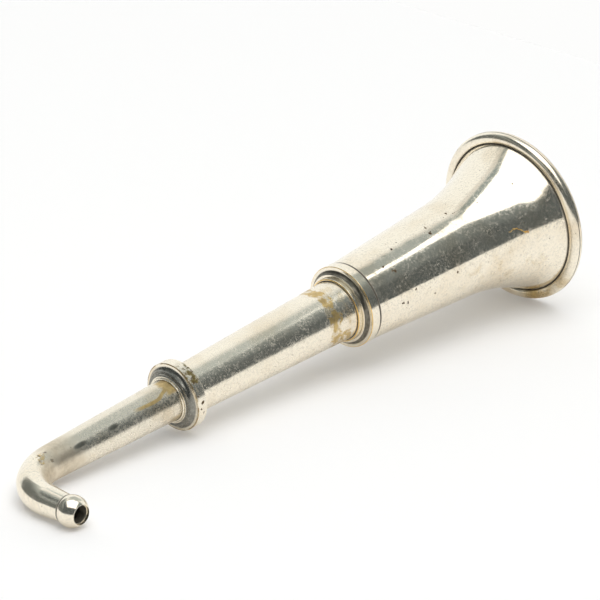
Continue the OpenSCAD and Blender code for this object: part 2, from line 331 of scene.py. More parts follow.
# %% Bell collar
COLLAR_R = cone_r(COLLAR_BACK) + 0.22
SCOTIA = 1.3
COLLAR_RIM = COLLAR_R - 0.8
RIDGE = COLLAR_EDGE + SCOTIA + 0.1
RIDGE_R = COLLAR_RIM - SCOTIA
FLANGE_R = SLEEVE_R + 1.4
SEAT_DEPTH = 0.95
SEAT_GAP = 0.1
band = rounded(
    [
        (TAIL_R, BELL_LENGTH, 0),
        (cone_r(COLLAR_BACK), COLLAR_BACK, 0),
        (COLLAR_R, COLLAR_BACK, 0.15),
        (COLLAR_R, COLLAR_EDGE, 0.22),
        (COLLAR_RIM, COLLAR_EDGE, 0),
    ]
)
hollow = arc((COLLAR_RIM, COLLAR_EDGE + SCOTIA), SCOTIA, 268, 181, 14)
seat = rounded(
    [
        (RIDGE_R, COLLAR_EDGE + SCOTIA, 0),
        (RIDGE_R - 0.12, RIDGE, 0.05),
        (SLEEVE_R + GAP, RIDGE, 0.1),
        (SLEEVE_R + GAP, BELL_LENGTH + SEAT_DEPTH, 0),
        (FLANGE_R + SEAT_GAP, BELL_LENGTH + SEAT_DEPTH, 0),
        (FLANGE_R + SEAT_GAP, BELL_LENGTH, 0),
    ]
)
bell_collar = turned("bell_collar_ring", band + hollow + seat, "bell", "bell_collar", sides=192)

# %% [markdown]
# Inside the collar sits a friction sleeve, which shows as a bright ring with a worn yellow edge. It
# turns in the collar, and the middle tube slides through it. Its bore follows the tube's taper, so that
# the gap round the tube is even. The second sleeve has the same form, so one function draws both.

# %% Middle sleeve
FLANGE_BACK = 0.1
FLANGE_FRONT = 0.9


def sleeve_line(back, seat_at, front, outside, flange, radius, edge, mouth):
    """Profile of a friction sleeve with a flange; edge and mouth are the roundings of its front."""
    return rounded(
        [
            (outside, back, 0.1),
            (outside, seat_at + FLANGE_BACK, 0),
            (flange, seat_at + FLANGE_BACK, 0.05),
            (flange, seat_at + FLANGE_FRONT, 0.05),
            (outside, seat_at + FLANGE_FRONT, 0),
            (outside, front, edge),
            (radius(front) + GAP, front, mouth),
            (radius(back) + GAP, back, 0.05),
        ]
    )


middle_guide = sleeve_line(SLEEVE_BACK, BELL_LENGTH, SLEEVE_FRONT, SLEEVE_R, FLANGE_R, middle_r, 0.28, 0.08)
middle_sleeve = turned("middle_guide_ring", middle_guide, "bell_guide", "middle_sleeve", sides=192)

# %% [markdown]
# The two draw tubes are long cones of thin sheet. Each has a stop ring soldered round its inner end,
# which can be seen from the mouth. A Solidify modifier could thicken a plain cone, but a closed profile
# also gives the small roundings of the cut ends.

# %% Tubes and stops
STOP_LENGTH = 1.9
STOP_GAP = 0.1
MIDDLE_STOP_R = SLEEVE_R + 0.55
EAR_STOP_R = ear_r(EAR_SLEEVE_BACK) + 0.36


def tube_line(back, front, radius):
    """Profile of a tapered tube between two stations."""
    return rounded(
        [
            (radius(back), back, 0.08),
            (radius(front), front, 0.02),
            (radius(front) - TUBE_SHEET, front, 0.02),
            (radius(back) - TUBE_SHEET, back, 0.08),
        ],
        steps=3,
    )


def stop_line(sleeve_back, outside, radius):
    """Profile of a stop ring that ends just behind a sleeve."""
    front = sleeve_back - STOP_GAP
    back = front - STOP_LENGTH
    return rounded(
        [
            (radius(back), back, 0),
            (outside, back, 0.2),
            (outside, front, 0.2),
            (radius(front), front, 0),
        ]
    )


middle_skin = tube_line(MIDDLE_BACK, MIDDLE_FRONT, middle_r)
middle_tube = turned("middle_draw_tube", middle_skin, "middle_draw", "middle_tube")
ear_skin = tube_line(EAR_BACK, EAR_FRONT, ear_r)
ear_tube = turned("ear_draw_tube", ear_skin, "ear_draw", "ear_tube", sides=144)
middle_end = stop_line(SLEEVE_BACK, MIDDLE_STOP_R, middle_r)
middle_stop = turned("middle_stop_ring", middle_end, "middle_draw", "middle_stop")
ear_end = stop_line(EAR_SLEEVE_BACK, EAR_STOP_R, ear_r)
ear_stop = turned("ear_stop_ring", ear_end, "ear_draw", "ear_stop", sides=112)

# %% [markdown]
# The collar at the end of the middle tube has a plain band and a coved face with a fine groove and a
# lip. A bright sleeve fills its hole, and a dark gap shows where the ear tube leaves it. The groove is
# only a fifth of a millimetre deep, but it is cut as geometry, so it stays in the exported mesh.

# %% Middle collar and ear sleeve
SMALL_R = middle_r(SMALL_BACK) + 3.1
COVE = 1.75
SMALL_RIM = SMALL_R - 0.4
STEP_R = SMALL_RIM - COVE
LIP = SMALL_EDGE + COVE
LIP_END = LIP + 0.45
EAR_SLEEVE_R = middle_r(MIDDLE_FRONT) - TUBE_SHEET - 0.09
EAR_FLANGE_R = EAR_SLEEVE_R + 1.1
LIP_R = EAR_SLEEVE_R + 0.55
small_band = rounded(
    [
        (middle_r(MIDDLE_FRONT), MIDDLE_FRONT, 0),
        (middle_r(SMALL_BACK), SMALL_BACK, 0.03),
        (SMALL_R, SMALL_BACK, 0.25),
        (SMALL_R, SMALL_EDGE, 0.22),
        (SMALL_RIM, SMALL_EDGE, 0),
    ]
)
small_cove = arc((SMALL_RIM, LIP), COVE, 268, 186, 14)
small_face = rounded(
    [
        (STEP_R - 0.02, LIP - 0.1, 0.05),
        (STEP_R - 0.2, LIP - 0.2, 0.05),
        (STEP_R - 0.62, LIP, 0.08),
        (LIP_R, LIP, 0.1),
        (LIP_R, LIP_END, 0.32),
        (EAR_SLEEVE_R + GAP, LIP_END, 0.05),
        (EAR_SLEEVE_R + GAP, MIDDLE_FRONT + SEAT_DEPTH, 0),
        (EAR_FLANGE_R + SEAT_GAP, MIDDLE_FRONT + SEAT_DEPTH, 0),
        (EAR_FLANGE_R + SEAT_GAP, MIDDLE_FRONT, 0),
    ]
)
small_line = small_band + small_cove + small_face
small_collar = turned("middle_collar_ring", small_line, "middle_draw", "middle_collar", sides=176)
ear_guide = sleeve_line(
    EAR_SLEEVE_BACK, MIDDLE_FRONT, EAR_SLEEVE_FRONT, EAR_SLEEVE_R, EAR_FLANGE_R, ear_r, 0.34, 0.06
)
ear_sleeve = turned("ear_guide_ring", ear_guide, "middle_guide", "ear_sleeve", sides=160)

# %% [markdown]
# The elbow is a tube bent through a right angle and drawn thinner towards the ear. A curve with a bevel
# would give one thickness only, so a ring is carried along the bend and then along the straight arm,
# outside first and inside on the way back. The wall is closed, and the tip's hole looks into a passage.

# %% Elbow
ELBOW_SIDES = 112
BEND_STEPS = 48
ARM_STEPS = 8
SEAM_STEP = 0.1
SPIGOT = 4.0
QUARTER = math.pi / 2
BEND_START_R = ear_r(EAR_FRONT)


def elbow_ring(turn, run, radius):
    """One ring of the elbow: a turn along the bend, a run along the arm, and a radius."""
    points = []
    for k in range(ELBOW_SIDES):
        a = 2 * math.pi * k / ELBOW_SIDES
        out = BEND_R * (1 - math.cos(turn)) + run * math.sin(turn) + radius * math.cos(a) * math.cos(turn)
        along = BEND_R * math.sin(turn) + run * math.cos(turn) - radius * math.cos(a) * math.sin(turn)
        points.append((radius * math.sin(a), -out, EAR_FRONT + along))
    return points


arm_run = TIP_SEAM - BEND_R
spigot_r = ear_r(EAR_FRONT - SPIGOT)
bend_parts = [k / BEND_STEPS for k in [0.0, SEAM_STEP] + list(range(1, BEND_STEPS + 1))]
arm_parts = [k / ARM_STEPS for k in range(1, ARM_STEPS + 1)]
bend = [(QUARTER * f, 0.0, BEND_START_R + (ARM_R - BEND_START_R) * f) for f in bend_parts]
arm = [(QUARTER, arm_run * f, ARM_R + (ARM_END_R - ARM_R) * f) for f in arm_parts]
skin = bend + arm + [(QUARTER, arm_run + SOCKET, ARM_END_R)]
lining = [(turn, run, radius - TUBE_SHEET) for turn, run, radius in reversed(skin)]
spigot = [(0.0, -SPIGOT, spigot_r - 2 * TUBE_SHEET), (0.0, -SPIGOT, spigot_r - TUBE_SHEET)]
seam_face = [(0.0, 0.0, BEND_START_R - TUBE_SHEET), (0.0, 0.0, BEND_START_R - 0.02)]
elbow_rings = seam_face + skin + lining[:-1] + [(0.0, 0.0, BEND_START_R - 2 * TUBE_SHEET)] + spigot
elbow = finish_mesh("bent_elbow", [elbow_ring(*r) for r in elbow_rings], "ear_draw", "ear_elbow")

# %% [markdown]
# The ear tip is a ball with a round sound hole. A plain sphere has no hole and no neck, so the ball is
# a profile too. It is turned about the arm, not about the trumpet's axis, which only changes the pair of
# directions that the circle uses.

# %% Ear tip
TIP_SIDES = 112
seam_angle = math.degrees(math.atan2(TIP_SEAM - ARM_REACH, TIP_NECK))
hole_angle = math.degrees(math.atan2(TIP_END - ARM_REACH, TIP_BORE + TIP_LIP))
tip_ball = arc((0.0, ARM_REACH), TIP_R, seam_angle, hole_angle, 34)
tip_hole = rounded(
    [
        (TIP_BORE, TIP_END, 0.12),
        (TIP_BORE, TIP_SEAM + SOCKET, 0.05),
        (ARM_END_R, TIP_SEAM + SOCKET, 0),
        (ARM_END_R, TIP_SEAM, 0),
    ]
)
tip_line = eased(tip_ball + tip_hole, 0.5)
tip_turns = [2 * math.pi * k / TIP_SIDES for k in range(TIP_SIDES)]
tip_grid = [[(p.x * math.sin(a), -p.y, ARM_STATION - p.x * math.cos(a)) for a in tip_turns] for p in tip_line]
tip = finish_mesh("ear_tip_ball", tip_grid, "ear_draw", "ear_tip")

# %% [markdown]
# Shader networks can be drawn with boxes and wires, but long ones are easier to read as sums. A small
# class wraps a socket, and its operators add the Math nodes.

# %% Shader expressions
class Signal:
    """A socket that can be added, subtracted, multiplied and divided like a number."""

    def __init__(self, tree, socket):
        self.tree = tree
        self.socket = socket

    def output(self, name):
        """Another output of the same node."""
        return Signal(self.tree, self.socket.node.outputs[name])

    def __add__(self, other):
        return Network(self.tree).math("ADD", self, other)

    def __sub__(self, other):
        return Network(self.tree).math("SUBTRACT", self, other)

    def __rsub__(self, other):
        return Network(self.tree).math("SUBTRACT", other, self)

    def __mul__(self, other):
        return Network(self.tree).math("MULTIPLY", self, other)

    def __truediv__(self, other):
        return Network(self.tree).math("DIVIDE", self, other)

    def __rtruediv__(self, other):
        return Network(self.tree).math("DIVIDE", other, self)

    __radd__ = __add__
    __rmul__ = __mul__


print("expressions ready")

# %% [markdown]
# Every node comes from one method, which takes the node's type, its settings and its sockets. The other
# methods are short names for what the finishes use again and again: soft steps, bands, mixes and noise.

# %% Shader networks
class Network:
    """A node tree that is filled by one method."""

    def __init__(self, tree):
        self.tree = tree

    def node(self, kind, settings=None, sockets=None, out=0):
        """Adds a node: its settings are set first, and then its sockets get values or links."""
        made = self.tree.nodes.new(kind)
        for name, value in (settings or {}).items():
            setattr(made, name, value)
        for name, value in (sockets or {}).items():
            if isinstance(value, Signal):
                self.tree.links.new(value.socket, made.inputs[name])
            else:
                made.inputs[name].default_value = value
        return Signal(self.tree, made.outputs[out])

    def feed(self, name, sockets):
        """Links signals to the sockets of a node that is already in the tree."""
        for socket, value in sockets.items():
            self.tree.links.new(value.socket, self.tree.nodes[name].inputs[socket])

    def math(self, operation, first, second=0.0):
        """One Math node."""
        return self.node("ShaderNodeMath", {"operation": operation}, {0: first, 1: second})

    def larger(self, first, second):
        """The larger of two values."""
        return self.math("MAXIMUM", first, second)

    def length(self, across, along):
        """The distance that two distances at right angles make."""
        return self.math("SQRT", across * across + along * along)

    def smooth(self, value, low, high, start=0.0, end=1.0):
        """A soft step: start below low, end above high."""
        return self.node(
            "ShaderNodeMapRange",
            {"interpolation_type": "SMOOTHSTEP"},
            {"Value": value, "From Min": low, "From Max": high, "To Min": start, "To Max": end},
        )

    def ramp(self, value, low, high):
        """A straight rise from zero at low to one at high."""
        return self.node("ShaderNodeMapRange", None, {"Value": value, "From Min": low, "From Max": high})

    def band(self, value, low, high, soft):
        """One between two values, with soft edges."""
        above = self.smooth(value, low - soft, low + soft)
        below = self.smooth(value, high - soft, high + soft, 1.0, 0.0)
        return above * below

    def mix(self, factor, first, second):
        """A mix of two colours."""
        return self.node("ShaderNodeMix", {"data_type": "RGBA"}, {0: factor, 6: first, 7: second}, out=2)

    def noise(self, where, scale, detail=2.0, rough=0.5):
        """Cloudy noise between zero and one."""
        return self.node(
            "ShaderNodeTexNoise",
            None,
            {"Vector": where, "Scale": scale, "Detail": detail, "Roughness": rough},
        )

    def scaled(self, where, factors):
        """A position with each direction stretched by its own factor."""
        return self.node("ShaderNodeVectorMath", {"operation": "MULTIPLY"}, {0: where, 1: factors})

    def split(self, where):
        """The three coordinates of a position."""
        first = self.node("ShaderNodeSeparateXYZ", None, {0: where})
        return [first.output(axis) for axis in "XYZ"]


def new_material(name):
    """A material with nodes, and its network."""
    material = bpy.data.materials.new(name)
    material.use_nodes = True
    return material, Network(material.node_tree)


print("networks ready")

# %% [markdown]
# Wear follows the lathe, not the table. Texture coordinates could be unwrapped for every piece, but a
# Mapping node that undoes the lean is enough: each material then knows the station along the axis in
# millimetres and the angle round it in degrees. Zero is the top, minus ninety the side with the arm.

# %% Places on the lathe
METRE = 1000.0


class Place:
    """Where a point lies on the trumpet."""

    def __init__(self, net):
        here = net.node("ShaderNodeTexCoord", out="Object")
        undo = {"Vector": here, "Location": MOUTH_AT, "Rotation": (0.0, LEAN, 0.0)}
        self.where = net.node("ShaderNodeMapping", {"vector_type": "TEXTURE"}, undo)
        self.up, self.side, along = net.split(self.where)
        self.station = along * METRE
        self.angle = net.math("ARCTAN2", self.side, self.up) * math.degrees(1.0)
        self.radius = net.length(self.up, self.side) * METRE


def on_lathe(radius, station, angle):
    """A point given as on the lathe, in metres."""
    turn = math.radians(angle)
    return Vector((radius * math.cos(turn), radius * math.sin(turn), station)) * MM


print("places ready")

# %% [markdown]
# Silver plate wears in layers. Over the plate lie brass where it has rubbed away, painted shade in the
# creases, seams and hollows, crust and pits. Each layer has a light and a dark colour, a roughness, and a
# share of metal: the painted shade is hardly metal at all, and rubbed brass is half dull. Colours are
# written as they look on screen.

# %% Palette
def colour(r, g, b):
    """A colour given as it looks on screen, from 0 to 255, as linear light by the screen's own curve."""
    def light(v):
        v /= 255
        return v / 12.92 if v <= 0.04045 else ((v + 0.055) / 1.055) ** 2.4

    return (light(r), light(g), light(b), 1.0)


SILVER = colour(248, 239, 220)
TARNISH = colour(226, 209, 180)
WORN = colour(206, 199, 183)
LAYERS = {
    "brass": (colour(210, 178, 102), colour(182, 148, 74), 0.32, 0.6),
    "edge": (colour(238, 194, 92), colour(216, 168, 68), 0.3, 1.0),
    "scratch": (colour(244, 196, 96), colour(222, 160, 66), 0.45, 0.3),
    "bronze": (colour(176, 146, 88), colour(120, 94, 54), 0.35, 0.9),
    "dull": (colour(226, 212, 188), colour(208, 192, 166), 0.5, 0.8),
    # painted shade: the dark colour laid into creases, seams, bores and the tip's hole
    "painted_shade": (colour(74, 64, 50), colour(38, 33, 27), 0.6, 0.3),
    # painted shade in the collar's hollow, and a painted reflection of the table's shadow below it
    "hollow_shade": (colour(106, 102, 90), colour(64, 60, 50), 0.3, 0.9),
    "slate": (colour(116, 118, 114), colour(72, 76, 75), 0.28, 0.95),
    "crust": (colour(134, 122, 70), colour(96, 76, 46), 0.55, 0.4),
    "pit": (colour(112, 90, 58), colour(66, 52, 36), 0.5, 0.5),
    "smoke": (colour(150, 146, 134), colour(118, 114, 104), 0.3, 1.0),
}
print("layers:", ", ".join(LAYERS))

# %% [markdown]
# The plate is a pale, creamy metal with soft dents, a peppery grain of worn flecks, hairlines round the
# axis and tiny brown specks. An image texture would stretch on the flare, so each pattern is noise in
# the lathe's own space, with its scale in waves per metre. The bump's heights are in microns. Each piece
# says how polished, peppered, specked and tarnished it is, and where its layers lie.

# %% Silver plate
DENT_WAVES = 130.0
MOTTLE_WAVES = 750.0
GRAIN_WAVES = 1200.0
CLOUD_WAVES = 75.0
PATCH_WAVES = 230.0
SPECK_WAVES = 1000.0
HAIRLINES = (70.0, 70.0, 2400.0)
MICRON = 0.000001


def speckles(net, place, share):
    """Round specks in a share of the cells of a cell pattern, each of its own size."""
    pattern = {"Vector": place.where, "Scale": SPECK_WAVES}
    cells = net.node("ShaderNodeTexVoronoi", None, pattern, out="Distance")
    dice = net.node("ShaderNodeSeparateColor", None, {0: cells.output("Color")})
    size = net.smooth(dice, 1.0 - share, 1.0, -0.1, 0.22)
    return net.smooth(cells - size, -0.06, 0.02, 1.0, 0.0)


def silver_plate(name, layers, polish, pepper, specks, tarnish):
    """Silver plate over brass; layers are pairs of a finish and a mask made from the network and place."""
    material, net = new_material(name)
    place = Place(net)
    dents = net.noise(place.where, DENT_WAVES, 1.4)
    mottle = net.noise(place.where, MOTTLE_WAVES, 3.0, 0.65)
    grain = net.noise(place.where, GRAIN_WAVES, 4.0, 0.7)
    lines = net.noise(net.scaled(place.where, HAIRLINES), 1.0, 2.0)
    clouds = net.noise(place.where, CLOUD_WAVES, 3.0, 0.55)
    patches = net.smooth(net.noise(place.where, PATCH_WAVES, 3.0, 0.6), 0.35, 0.65)
    flecks = net.smooth(grain, 0.44, 0.64) * (0.4 + patches * 0.6)
    speck = speckles(net, place, specks) * patches
    tint = net.mix(net.smooth(clouds, 0.42, 0.72) * tarnish, SILVER, TARNISH)
    tint = net.mix(flecks * 0.1, tint, WORN)
    rough = polish + (mottle - 0.5) * 0.06 + flecks * pepper + lines * 0.02
    metal = 0.97 - pepper * 0.2 - flecks * pepper * 1.3
    covers = [("pit", speck)] + [(finish, mask(net, place)) for finish, mask in layers]
    for finish, cover in covers:
        light, dark, coarse, metallic = LAYERS[finish]
        tint = net.mix(cover, tint, net.mix(net.smooth(mottle, 0.35, 0.65), light, dark))
        rough = rough + cover * (coarse - rough)
        metal = metal + cover * (metallic - metal)
    height = dents * 70.0 + mottle * 1.5 + grain * 0.8 + lines * 0.7 - speck * 4.0
    bump = net.node("ShaderNodeBump", None, {"Strength": 1.0, "Distance": MICRON, "Height": height})
    surface = {"Base Color": tint, "Roughness": rough, "Metallic": metal, "Normal": bump}
    net.feed("Principled BSDF", surface)
    return material


def dress(piece, material):
    """Gives a piece its finish."""
    piece.data.materials.clear()
    piece.data.materials.append(material)
    print(piece.name, "has", material.name)


def plate(piece, name, layers, polish, pepper, specks, tarnish):
    """Dresses a piece in silver plate of its own."""
    dress(piece, silver_plate(name, layers, polish, pepper, specks, tarnish))


print("silver plate ready")

# %% [markdown]
# Most marks have an edge. A crisp one looks printed, so the position is shaken by noise before it is
# measured, and every mark made from it is frayed. Single pits are frayed round spots at chosen places.

# %% Frayed marks
FRAY_WAVES = 900.0
FRAY = 0.0016


def ragged(net, place, scale, amount):
    """The position shaken by noise, which frays the edge of any mask made from it."""
    shake = net.noise(place.where, scale).output("Color")
    moved = net.node("ShaderNodeVectorMath", {"operation": "SUBTRACT"}, {0: shake, 1: (0.5, 0.5, 0.5)})
    moved = net.scaled(moved, (amount, amount, amount))
    return net.node("ShaderNodeVectorMath", {"operation": "ADD"}, {0: place.where, 1: moved})


def spots(net, place, points):
    """Frayed round spots; each point is a place on the lathe and a radius in millimetres."""
    frayed = ragged(net, place, FRAY_WAVES, FRAY)
    total = 0.0
    for point, size in points:
        away = net.node("ShaderNodeVectorMath", {"operation": "DISTANCE"}, {0: frayed, 1: point}, out="Value")
        total = net.smooth(away * METRE, size * 0.6, size, 1.0, 0.0) + total
    return net.math("MINIMUM", total, 1.0)


print("marks ready")

# %% [markdown]
# The bell's skin has scattered pits, a dark line of painted shade in the crease at the rim and against the
# collar, and a tan haze where hands hold it. A zigzag scratch near the mouth shows the brass. All this could
# be painted on a texture, but marks placed by station and angle stay sharp at any size. The inside shares
# the material, so a mask keeps the outer marks on the outer skin.

# %% Bell finish
# Station, angle and radius of each of the larger pits
BELL_PITS = [
    (66.4, -46.5, 0.8), (67.2, -44.0, 0.5), (46.5, -26.0, 0.7), (46.0, -16.0, 0.5), (61.8, -18.0, 0.6),
    (69.0, -34.0, 0.5), (44.0, -85.0, 0.45), (54.0, -98.0, 0.5), (65.5, -92.0, 0.5), (67.5, -90.0, 0.5),
    (61.8, -80.0, 0.45), (25.0, -24.0, 0.4), (12.0, -30.0, 0.4), (36.0, -14.0, 0.45),
]
SCRATCH_ANGLE = -75.5
SCRATCH_FROM = 15.0
SCRATCH_TO = 21.5


def on_skin(net, place):
    """One on the outer skin of the flare and zero on its inside."""
    away = net.length(ARC_AT.x - place.radius, ARC_AT.y - place.station)
    return net.smooth(away, ARC_R + 0.1, ARC_R + 0.4, 1.0, 0.0)


def horn_r(s):
    """Outside radius of the bell at any station."""
    if s > FLARE_LENGTH:
        return cone_r(s)
    return ARC_AT.x - math.sqrt(ARC_R**2 - (ARC_AT.y - s) ** 2)


def bell_crease_shade(net, place):
    """Painted shade in the crease at the rim and against the collar."""
    crease = net.smooth(place.station, CREASE_AT.y + 0.1, CREASE_AT.y + 0.75, 1.0, 0.0)
    seam = net.smooth(place.station, COLLAR_BACK - 0.85, COLLAR_BACK - 0.45)
    return (crease * on_skin(net, place) + seam) * 0.9


def bell_pits(net, place):
    """The larger pits, one by one."""
    return spots(net, place, [(on_lathe(horn_r(s), s, a), size) for s, a, size in BELL_PITS])


def bell_scratch(net, place):
    """A thin zigzag scratch."""
    first = net.ramp(place.station, SCRATCH_FROM, 16.5) * 1.5
    path = SCRATCH_ANGLE + first + net.ramp(place.station, 16.5, 18.5) * 6.0
    off = place.angle - path + (net.noise(place.where, 1100.0, 3.0, 0.6) - 0.5) * 8.0
    thick = net.smooth(place.station, 14.5, 18.0, 0.9, 0.45)
    line = net.smooth(net.math("ABSOLUTE", off) - thick, -0.2, 0.3, 1.0, 0.0)
    return line * net.band(place.station, SCRATCH_FROM, SCRATCH_TO, 0.3) * on_skin(net, place)


def bell_tan(net, place):
    """A tan haze low on the flare, where hands hold it."""
    low = net.band(place.angle, -132.0, -88.0, 10.0) * net.band(place.station, 10.0, 42.0, 7.0)
    return low * net.smooth(net.noise(place.where, 240.0, 4.0, 0.7), 0.5, 0.72) * 0.35


bell_layers = [("brass", bell_tan), ("pit", bell_pits), ("scratch", bell_scratch), ("painted_shade", bell_crease_shade)]
plate(bell, "bell_silver", bell_layers, polish=0.08, pepper=0.17, specks=0.35, tarnish=0.45)

# %% [markdown]
# The rim is golden underneath, where it has rubbed on tables. A fine dark seam of painted shade runs
# between the bead and the mouth ring, the bead's crease beside the bell gets painted shade too, and a brown
# line follows the ring's front edge. The brown line lies where a cloth can't reach, and all these lines
# are soft steps of radius or station, which hold all the way round.

# %% Rim finishes
def rim_gold(net, place):
    """Golden rubbing on the lower part of the rim."""
    low = net.smooth(place.angle, -142.0, -112.0, 1.0, 0.0) * net.smooth(place.angle, -178.0, -160.0)
    return low * net.smooth(net.noise(place.where, 160.0, 3.0), 0.3, 0.6) * 0.8


def bead_crease_shade(net, place):
    """Painted shade in the crease beside the bell and in the seam beside the mouth ring."""
    crease = net.smooth(place.radius, CREASE_AT.x + 0.12, CREASE_AT.x + 0.5, 1.0, 0.0)
    seam = net.smooth(place.station, RING_THICK + 0.08, RING_THICK + 0.3, 1.0, 0.0)
    return (crease + seam) * 0.9


def ring_seam_shade(net, place):
    """Painted shade in the seam beside the bead."""
    return net.smooth(place.station, RING_THICK - 0.22, RING_THICK - 0.08) * 0.8


def ring_front(net, place):
    """A brown line round the ring's front edge."""
    front = net.smooth(place.station, 0.75, 1.0, 0.8, 0.0)
    return front * net.smooth(place.radius, MOUTH_R - 0.8, MOUTH_R - 0.6)


bead_layers = [("brass", rim_gold), ("painted_shade", bead_crease_shade)]
plate(bead, "rim_silver", bead_layers, polish=0.17, pepper=0.1, specks=0.12, tarnish=0.9)
ring_layers = [("brass", rim_gold), ("bronze", ring_front), ("painted_shade", ring_seam_shade)]
plate(ring, "mouth_silver", ring_layers, polish=0.17, pepper=0.1, specks=0.12, tarnish=0.8)

# %% [markdown]
# The bell's collar and its sleeve are rubbed to brass along their sharp front edges, which shows as thin
# yellow lines. The Geometry node can find edges by its Pointiness, but that depends on how fine the mesh
# is, so the lines are narrow bands of station and radius. The hollow is darkened with painted grey shade,
# the face underneath carries a painted reflection of the table's shadow, and the seam at the bell and the
# sleeve's bore get painted shade.

# %% Bell collar and sleeve finishes
def bell_collar_edge(net, place):
    """A yellow line along the collar's front edge."""
    edge = net.band(place.station, COLLAR_EDGE - 0.15, COLLAR_EDGE + 0.1, 0.04)
    return edge * net.smooth(place.radius, COLLAR_R - 0.24, COLLAR_R - 0.16) * 0.85


def collar_seam_shade(net, place):
    """Painted shade where the collar meets the bell."""
    return net.smooth(place.station, COLLAR_BACK + 0.1, COLLAR_BACK + 0.25, 0.9, 0.0)


def collar_hollow_shade(net, place):
    """Painted shade that fills the hollow, and a painted reflection of the table's shadow on all of the face
    underneath.
    """
    # The lower face is darkened as a painted reflection of the shadowed table, the hollow as painted shade
    low = net.smooth(place.angle, -130.0, -100.0, 1.0, 0.0) * 0.7
    deep = net.smooth(place.radius, COLLAR_RIM - 0.5, COLLAR_RIM - 0.1, 1.0, 0.0)
    face = net.band(place.station, COLLAR_EDGE + 0.03, COLLAR_EDGE + SCOTIA + 0.02, 0.03)
    return net.larger(deep * 0.92, low) * face


def sleeve_edge(net, place):
    """A yellow line along the sleeve's worn mouth."""
    mouth = net.smooth(place.station, SLEEVE_FRONT - 0.2, SLEEVE_FRONT - 0.12)
    return mouth * net.smooth(place.radius, MIDDLE_R + 0.3, MIDDLE_R + 0.4) * 0.85


def sleeve_bore_shade(net, place):
    """Painted shade in the sleeve's bore."""
    return net.smooth(place.radius, MIDDLE_R + 0.2, MIDDLE_R + 0.32, 0.9, 0.0)


collar_layers = [("hollow_shade", collar_hollow_shade), ("edge", bell_collar_edge), ("painted_shade", collar_seam_shade)]
plate(bell_collar, "collar_silver", collar_layers, polish=0.15, pepper=0.08, specks=0.08, tarnish=0.4)
sleeve_layers = [("edge", sleeve_edge), ("painted_shade", sleeve_bore_shade)]
plate(middle_sleeve, "sleeve_silver", sleeve_layers, polish=0.18, pepper=0.1, specks=0.05, tarnish=0.6)

# %% [markdown]
# The end collar has been damp: its upper band carries a crust of green and brown, its side has deep pits
# and its face is slate grey. Noise decides where the crust clings, and a band of angles keeps it on the
# upper side. The ear sleeve inside the collar is polished by the tube and stays bright, with a line of
# painted shade in its mouth.

# %% End collar and ear sleeve finishes
# Station, angle and radius of each deep pit
COLLAR_PITS = [(151.6, -86.0, 0.6), (152.2, -97.0, 0.5), (151.2, -104.0, 0.45), (152.6, -74.0, 0.5)]


def small_edge(net, place):
    """Patches of brass along the end collar's front edge."""
    edge = net.band(place.station, SMALL_EDGE - 0.2, SMALL_EDGE + 0.1, 0.04)
    edge = edge * net.smooth(place.radius, SMALL_R - 0.4, SMALL_R - 0.25)
    return edge * net.smooth(net.noise(place.where, 300.0, 2.0), 0.36, 0.5) * 0.85


def small_crust(net, place):
    """Green and brown crust on the upper band of the end collar."""
    patch = net.band(place.angle, -62.0, -12.0, 10.0) * net.smooth(place.radius, SMALL_R - 0.5, SMALL_R - 0.2)
    return patch * net.smooth(net.noise(place.where, 460.0, 4.0, 0.65), 0.46, 0.58)


def small_pits(net, place):
    """A few deep pits on the band's side."""
    return spots(net, place, [(on_lathe(SMALL_R, s, a), size) for s, a, size in COLLAR_PITS])


def small_grime(net, place):
    """Grey grime on the coved face, thinner along its lip."""
    face = net.smooth(place.radius, EAR_SLEEVE_R + 0.3, EAR_SLEEVE_R + 0.6)
    face = face * net.smooth(place.radius, SMALL_RIM - 0.5, SMALL_RIM - 0.1, 1.0, 0.0)
    return face * 0.82 * net.smooth(place.station, SMALL_EDGE + 0.02, SMALL_EDGE + 0.2)


def ear_sleeve_gap_shade(net, place):
    """A dark line of painted shade in the mouth of the ear sleeve."""
    edge = ear_r(EAR_SLEEVE_FRONT)
    return net.smooth(place.radius, edge + 0.08, edge + 0.2, 0.9, 0.0)


small_layers = [("slate", small_grime), ("bronze", small_edge), ("crust", small_crust), ("pit", small_pits)]
plate(small_collar, "end_collar_silver", small_layers, polish=0.2, pepper=0.12, specks=0.16, tarnish=0.8)
bore_layers = [("painted_shade", ear_sleeve_gap_shade)]
plate(ear_sleeve, "ear_sleeve_silver", bore_layers, polish=0.15, pepper=0.08, specks=0.04, tarnish=0.4)

# %% [markdown]
# The middle tube has a frayed brass ring just outside the bell's collar, where the sleeve stops each
# time the trumpet is drawn out. A plain band would look like paint, so slow noise moves the ring to and
# fro, and finer noise breaks it up.

# %% Middle tube finish
def middle_brass(net, place):
    """A frayed brass ring just outside the bell's collar."""
    wide = net.noise(net.scaled(place.where, (1.0, 1.0, 0.6)), 190.0, 3.0, 0.6)
    at = place.station - SLEEVE_FRONT + (wide - 0.5) * 8.0
    holes = net.smooth(net.noise(place.where, 420.0, 2.0, 0.6), 0.4, 0.5)
    low = net.smooth(place.angle, -104.0, -80.0, 1.0, 0.0)
    broken = net.band(at, 6.4, 10.3, 0.3) * (0.35 + holes * 0.65)
    patch = net.band(at, 3.0, 10.5, 0.4) * holes * net.smooth(wide, 0.48, 0.56) * (0.3 + low * 0.7)
    return net.larger(broken, patch) * 0.85


middle_layers = [("brass", middle_brass)]
plate(middle_tube, "middle_silver", middle_layers, polish=0.17, pepper=0.17, specks=0.15, tarnish=0.5)

# %% [markdown]
# The ear tube has a golden streak that leaves its sleeve and bends along the tube, and two smoky thumb
# marks. The streak could be a painted stroke, but an angle that changes with the station draws it in one
# line. Towards the soldered seam the tube grows dull, and the elbow takes that up on the other side.

